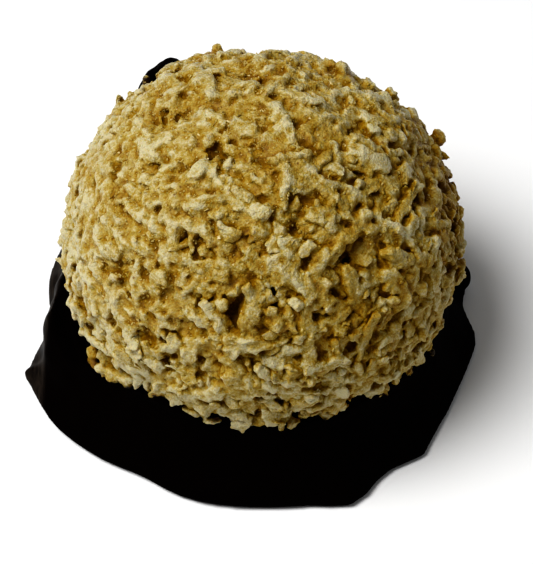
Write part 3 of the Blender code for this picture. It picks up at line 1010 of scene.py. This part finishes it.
def coconut_material(settings):
    tree = Tree("baked coconut")
    put = tree.shader.inputs
    shelter = tree.value("shelter")
    opened = tree.value("open")
    smear = tree.value("smear")
    glazed = tree.math("SUBTRACT", 1.0, opened)
    patches = tree.noise(4.0)
    blotches = tree.noise(1.3, 2.0, 0.55)
    grain = tree.noise(0.3, 3.0, 0.7)
    # browned mixes the coconut's own browning with painted shade: it rises where the crust is
    # sheltered, in valleys and deep under its level, and falls on ridges
    browned = tree.total(
        tree.math("MULTIPLY", shelter, 0.85),
        tree.span(tree.value("dip"), -0.15, 0.15, -0.16, 0.18),
        tree.span(tree.value("depth"), -0.8, 1.2, -0.14, 0.22),
        # Extra brown on the open side, which is turned from the lamp: partly the open crust's own
        # colour, partly painted shade
        tree.span(opened, 0.0, 1.0, 0.14, 0.22),
        # Browning by latitude and by the table, with painted shade on the right and lower front
        tree.value("toast_and_shade"),
        tree.span(patches, 0.3, 0.7, -0.2, 0.2),
        tree.span(blotches, 0.32, 0.68, -0.12, 0.12),
        tree.span(grain, 0.3, 0.7, -0.26, 0.26),
        tree.span(tree.value("tint"), 0.0, 1.0, 0.18, -0.18),
        tree.math("MULTIPLY", smear, 0.3),
    )
    ramp = tree.add("ShaderNodeValToRGB", {"Fac": browned})
    stops = (
        (0.0, settings.pale),
        (0.36, settings.golden),
        (0.7, settings.toasted),
        (1.0, settings.cavity),
    )
    for place, colour in stops[1:-1]:
        ramp.color_ramp.elements.new(place)
    for element, (place, colour) in zip(ramp.color_ramp.elements, stops):
        element.position = place
        element.color = (*colour, 1.0)
    # Painted shade: small spots of the dark cavity colour stand in for the shade inside pores
    pores = tree.cells(1.3)
    pore_width = tree.span(tree.noise(5.0, 1.0), 0.5, 0.62, 0.04, 0.17)
    pore_shade = tree.span(pores, tree.math("MULTIPLY", pore_width, 0.5), pore_width, 0.85, 0.0)
    coloured = tree.mix(pore_shade, ramp.outputs["Color"], (*settings.cavity, 1.0))
    smeared = tree.span(tree.math("ADD", smear, blotches), 1.35, 1.5)
    tree.put(put["Base Color"], tree.mix(smeared, coloured, (*settings.smeared, 1.0)))
    # Coat and specular are turned down where the crust is sheltered: painted shade on its reflections
    bare = tree.span(shelter, 0.05, 0.55, 1.0, 0.1)
    wet = tree.math("MULTIPLY", tree.span(tree.noise(1.6, 2.0, 0.6), 0.35, 0.6), bare)
    wet = tree.math("MULTIPLY", wet, tree.span(glazed, 0.0, 0.8, 0.15, 1.0))
    tree.put(put["Coat Weight"], wet)
    put["Coat Roughness"].default_value = 0.34
    put["Roughness"].default_value = 0.46
    shine = tree.span(glazed, 0.0, 1.0, 0.25, 0.4)
    tree.put(put["Specular IOR Level"], tree.math("MULTIPLY", shine, bare))
    put["Specular Tint"].default_value = (1.0, 0.86, 0.58, 1.0)
    put["Subsurface Weight"].default_value = 0.4
    put["Subsurface Radius"].default_value = (1.0, 0.7, 0.35)
    put["Subsurface Scale"].default_value = 0.6 * MM
    crumbs = tree.cells(0.42, "SMOOTH_F1")
    domes = tree.bump(tree.span(crumbs, 0.0, 0.8, 1.0, 0.0), 0.08, 0.8)
    fine = tree.bump(tree.noise(0.25, 2.0, 0.6), 0.22, 1.0, domes)
    rough = tree.bump(tree.noise(0.6, 3.0, 0.6), 0.18, 0.9, fine)
    tree.put(put["Normal"], rough)
    tree.put(put["Coat Normal"], tree.bump(tree.noise(0.35, 2.0, 0.7), 0.35, 1.0, rough))
    return tree.material


def sugar_material(settings):
    tree = Tree("set syrup")
    put = tree.shader.inputs
    # Painted shade: grains are darker golden where sheltered and pale where exposed
    sheltered = tree.span(tree.value("shelter"), -0.3, 0.5)
    colour = tree.mix(sheltered, (*settings.pale, 1.0), (*settings.golden, 1.0))
    tree.put(put["Base Color"], colour)
    put["Roughness"].default_value = 0.42
    put["Specular IOR Level"].default_value = 0.6
    return tree.material


def chocolate_material(settings):
    tree = Tree("dark chocolate")
    put = tree.shader.inputs
    painted_sheen = tree.value("painted_sheen")
    stretch = {"Vector": tree.position(), "Scale": (3.0, 0.4, 0.8)}
    streaks = tree.add("ShaderNodeMapping", stretch).outputs["Vector"]
    # Painted sheen: the left outer wall, which faces the lamp, gets a lighter streaked colour, and more
    # gloss
    patches = tree.span(tree.noise(0.9, 3.0, 0.65, streaks), 0.3, 0.65)
    sheen_share = tree.math("MULTIPLY", patches, painted_sheen)
    colour = tree.mix(sheen_share, (*settings.colour, 1.0), (*settings.sheen_colour, 1.0))
    tree.put(put["Base Color"], colour)
    tree.put(put["Roughness"], tree.span(painted_sheen, 0.0, 1.0, 0.65, 0.5))
    tree.put(put["Specular IOR Level"], tree.span(painted_sheen, 0.0, 1.0, 0.012, 0.09))
    tree.put(put["Normal"], tree.bump(tree.noise(0.9, 2.0), 0.06, 0.4))
    return tree.material


def floor_material(settings):
    tree = Tree("pale floor")
    put = tree.shader.inputs
    put["Base Color"].default_value = (*settings.floor, 1.0)
    put["Roughness"].default_value = 0.9
    put["Specular IOR Level"].default_value = 0.1
    return tree.material


# Settings


def count_property(name, description, default, least=10):
    return bpy.props.IntProperty(name=name, description=description, default=default, min=least)


def colour_property(name, description, default):
    return bpy.props.FloatVectorProperty(
        name=name, description=description, default=default, subtype="COLOR", size=3, min=0, max=1
    )


class CoconutSettings(bpy.types.PropertyGroup):
    seed: bpy.props.IntProperty(name="Seed", description="Changes every random draw", default=5)
    fused_shreds: count_property("Fused Shreds", "Shreds baked into the crust", 2800, 100)
    loose_shreds: count_property("Loose Shreds", "Crisp shreds standing on the crust", 900)
    flakes: count_property("Flakes", "Thin shavings on the crust", 620)
    crumbs: count_property("Crumbs", "Small bits set into the crust", 4500)
    sugar: count_property("Sugar", "Grains of set syrup", 7500)
    looks: count_property("Looks", "Rays cast from a point to find its shelter", 12, 4)
    fineness: bpy.props.FloatProperty(
        name="Fineness", description="Size of the crust's finest relief in mm", default=0.22, min=0.15
    )
    pale: colour_property("Pale", "Coconut that hardly browned", (0.58, 0.52, 0.315))
    golden: colour_property("Golden", "Coconut baked golden", (0.44, 0.32, 0.064))
    toasted: colour_property("Toasted", "Coconut baked brown", (0.345, 0.193, 0.003))
    # The cavity colour is reached where the crust is most sheltered and deepest, and in the pore spots:
    # syrup colour and painted shade together
    cavity: colour_property("Cavity", "Syrupy coconut down in the pits", (0.22, 0.105, 0.001))
    smeared: colour_property("Smeared", "Coconut that chocolate soaked", (0.02, 0.008, 0.001))


class ChocolateSettings(bpy.types.PropertyGroup):
    waviness: bpy.props.FloatProperty(
        name="Waviness", description="Height of the ripples in the set chocolate", default=1.0, min=0
    )
    colour: colour_property("Chocolate", "The chocolate's own colour", (0.0019, 0.0005, 0.0001))
    # The sheen colour is a painted sheen on the left outer wall, which faces the lamp
    sheen_colour: colour_property("Bloom", "Where the chocolate has dulled", (0.026, 0.018, 0.012))


class StageSettings(bpy.types.PropertyGroup):
    floor: colour_property("Floor", "The plain pale floor", (0.92, 0.92, 0.92))
    key: bpy.props.FloatProperty(
        name="Key Light", description="Power of the main light", default=2.95, min=0, unit="POWER"
    )
    fill: bpy.props.FloatProperty(
        name="Fill", description="Brightness of the surroundings", default=0.19, min=0
    )


# Operators


class MACAROON_OT_crust(bpy.types.Operator):
    """Build the fused crust of shredded coconut"""

    bl_idname = "macaroon.crust"
    bl_label = "Coconut Crust"

    def execute(self, context):
        settings = context.scene.macaroon_coconut
        mesh = build_crust(settings)
        material = coconut_material(settings)
        piece = finish_piece("coconut_crust", mesh, material)
        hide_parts("coconut_ball")
        return {"FINISHED"}


class MACAROON_OT_loose(bpy.types.Operator):
    """Scatter the crisp shreds, flakes, crumbs and sugar over the crust"""

    bl_idname = "macaroon.loose"
    bl_label = "Loose Coconut"

    def execute(self, context):
        settings = context.scene.macaroon_coconut
        coconut = bpy.data.materials.get("baked coconut") or coconut_material(settings)
        for kind in LOOSE_KINDS:
            mesh = build_loose(settings, kind)
            material = sugar_material(settings) if kind == "sugar" else coconut
            finish_piece(f"coconut_{kind}", mesh, material)
        return {"FINISHED"}


class MACAROON_OT_brown_and_shade(bpy.types.Operator):
    """Store how much the coconut browned, and how sheltered and deep each place is, which the material
    turns into painted shade
    """

    bl_idname = "macaroon.brown"
    bl_label = "Brown the Coconut"

    def execute(self, context):
        names = [f"coconut_{kind}" for kind in ("crust", *LOOSE_KINDS)]
        store_browning_and_shade([bpy.data.objects[name] for name in names], context.scene.macaroon_coconut)
        return {"FINISHED"}


class MACAROON_OT_chocolate(bpy.types.Operator):
    """Build the dark chocolate base"""

    bl_idname = "macaroon.chocolate"
    bl_label = "Chocolate Base"

    def execute(self, context):
        settings = context.scene.macaroon_chocolate
        mesh = build_chocolate(settings)
        material = chocolate_material(settings)
        piece = finish_piece("chocolate_coat", mesh, material)
        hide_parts("chocolate_base")
        return {"FINISHED"}


class MACAROON_OT_stage(bpy.types.Operator):
    """Add the floor, the lamp, the surroundings and the camera"""

    bl_idname = "macaroon.stage"
    bl_label = "Stage"

    def execute(self, context):
        scene = context.scene
        settings = scene.macaroon_stage
        bm = bmesh.new()
        bmesh.ops.create_grid(bm, x_segments=1, y_segments=1, size=1.5)
        mesh = bpy.data.meshes.new("floor")
        bm.to_mesh(mesh)
        bm.free()
        mesh.materials.append(floor_material(settings))
        floor = bpy.data.objects.new("floor", mesh)
        scene.collection.objects.link(floor)

        middle = Vector(BALL_CENTRE) * MM
        lamp = bpy.data.lights.new("key", "AREA")
        lamp.shape = "DISK"
        lamp.size = LAMP_WIDE
        lamp.energy = settings.key
        key = bpy.data.objects.new("key", lamp)
        towards_lamp = Vector(TOWARDS_LAMP).normalized()
        key.location = middle + towards_lamp * LAMP_FAR
        key.rotation_euler = (-towards_lamp).to_track_quat("-Z", "Y").to_euler()
        scene.collection.objects.link(key)

        world = bpy.data.worlds.new("surroundings")
        world.use_nodes = True
        backdrop = world.node_tree.nodes["Background"]
        backdrop.inputs["Color"].default_value = (1.0, 1.0, 1.0, 1.0)
        backdrop.inputs["Strength"].default_value = settings.fill
        scene.world = world
        scene.view_settings.view_transform = "Standard"
        scene.view_settings.look = "High Contrast"

        rise = math.radians(CAMERA_RISE)
        back = Vector((0, -math.cos(rise), math.sin(rise)))
        up = Vector((0, math.sin(rise), math.cos(rise)))
        lens = bpy.data.cameras.new("camera")
        lens.lens = CAMERA_LENS
        lens.sensor_width = 36
        lens.clip_start = 0.01
        camera = bpy.data.objects.new("camera", lens)
        place = back * CAMERA_FAR - up * CAMERA_DOWN + Vector((CAMERA_RIGHT, 0, 0))
        camera.location = middle + place * MM
        camera.rotation_euler = (-back).to_track_quat("-Z", "Y").to_euler()
        scene.collection.objects.link(camera)
        scene.camera = camera
        return {"FINISHED"}


class MACAROON_PT_panel(bpy.types.Panel):
    """Settings and steps of the macaroon"""

    bl_idname = "MACAROON_PT_panel"
    bl_label = "Coconut Macaroon"
    bl_space_type = "VIEW_3D"
    bl_region_type = "UI"
    bl_category = "Macaroon"

    def draw(self, context):
        scene = context.scene
        for title, settings, steps in (
            ("Coconut", scene.macaroon_coconut, ("macaroon.crust", "macaroon.loose", "macaroon.brown")),
            ("Chocolate", scene.macaroon_chocolate, ("macaroon.chocolate",)),
            ("Stage", scene.macaroon_stage, ("macaroon.stage",)),
        ):
            box = self.layout.box()
            box.label(text=title)
            for name in settings.__annotations__:
                box.prop(settings, name)
            for step in steps:
                box.operator(step)


CLASSES = (
    CoconutSettings,
    ChocolateSettings,
    StageSettings,
    MACAROON_OT_crust,
    MACAROON_OT_loose,
    MACAROON_OT_brown_and_shade,
    MACAROON_OT_chocolate,
    MACAROON_OT_stage,
    MACAROON_PT_panel,
)


def register():
    for cls in CLASSES:
        bpy.utils.register_class(cls)
    bpy.types.Scene.macaroon_coconut = bpy.props.PointerProperty(type=CoconutSettings)
    bpy.types.Scene.macaroon_chocolate = bpy.props.PointerProperty(type=ChocolateSettings)
    bpy.types.Scene.macaroon_stage = bpy.props.PointerProperty(type=StageSettings)


def unregister():
    del bpy.types.Scene.macaroon_stage
    del bpy.types.Scene.macaroon_chocolate
    del bpy.types.Scene.macaroon_coconut
    for cls in reversed(CLASSES):
        bpy.utils.unregister_class(cls)


def main():
    register()
    bpy.ops.macaroon.crust()
    bpy.ops.macaroon.loose()
    bpy.ops.macaroon.brown()
    bpy.ops.macaroon.chocolate()
    bpy.ops.macaroon.stage()


if __name__ == "__main__":
    main()
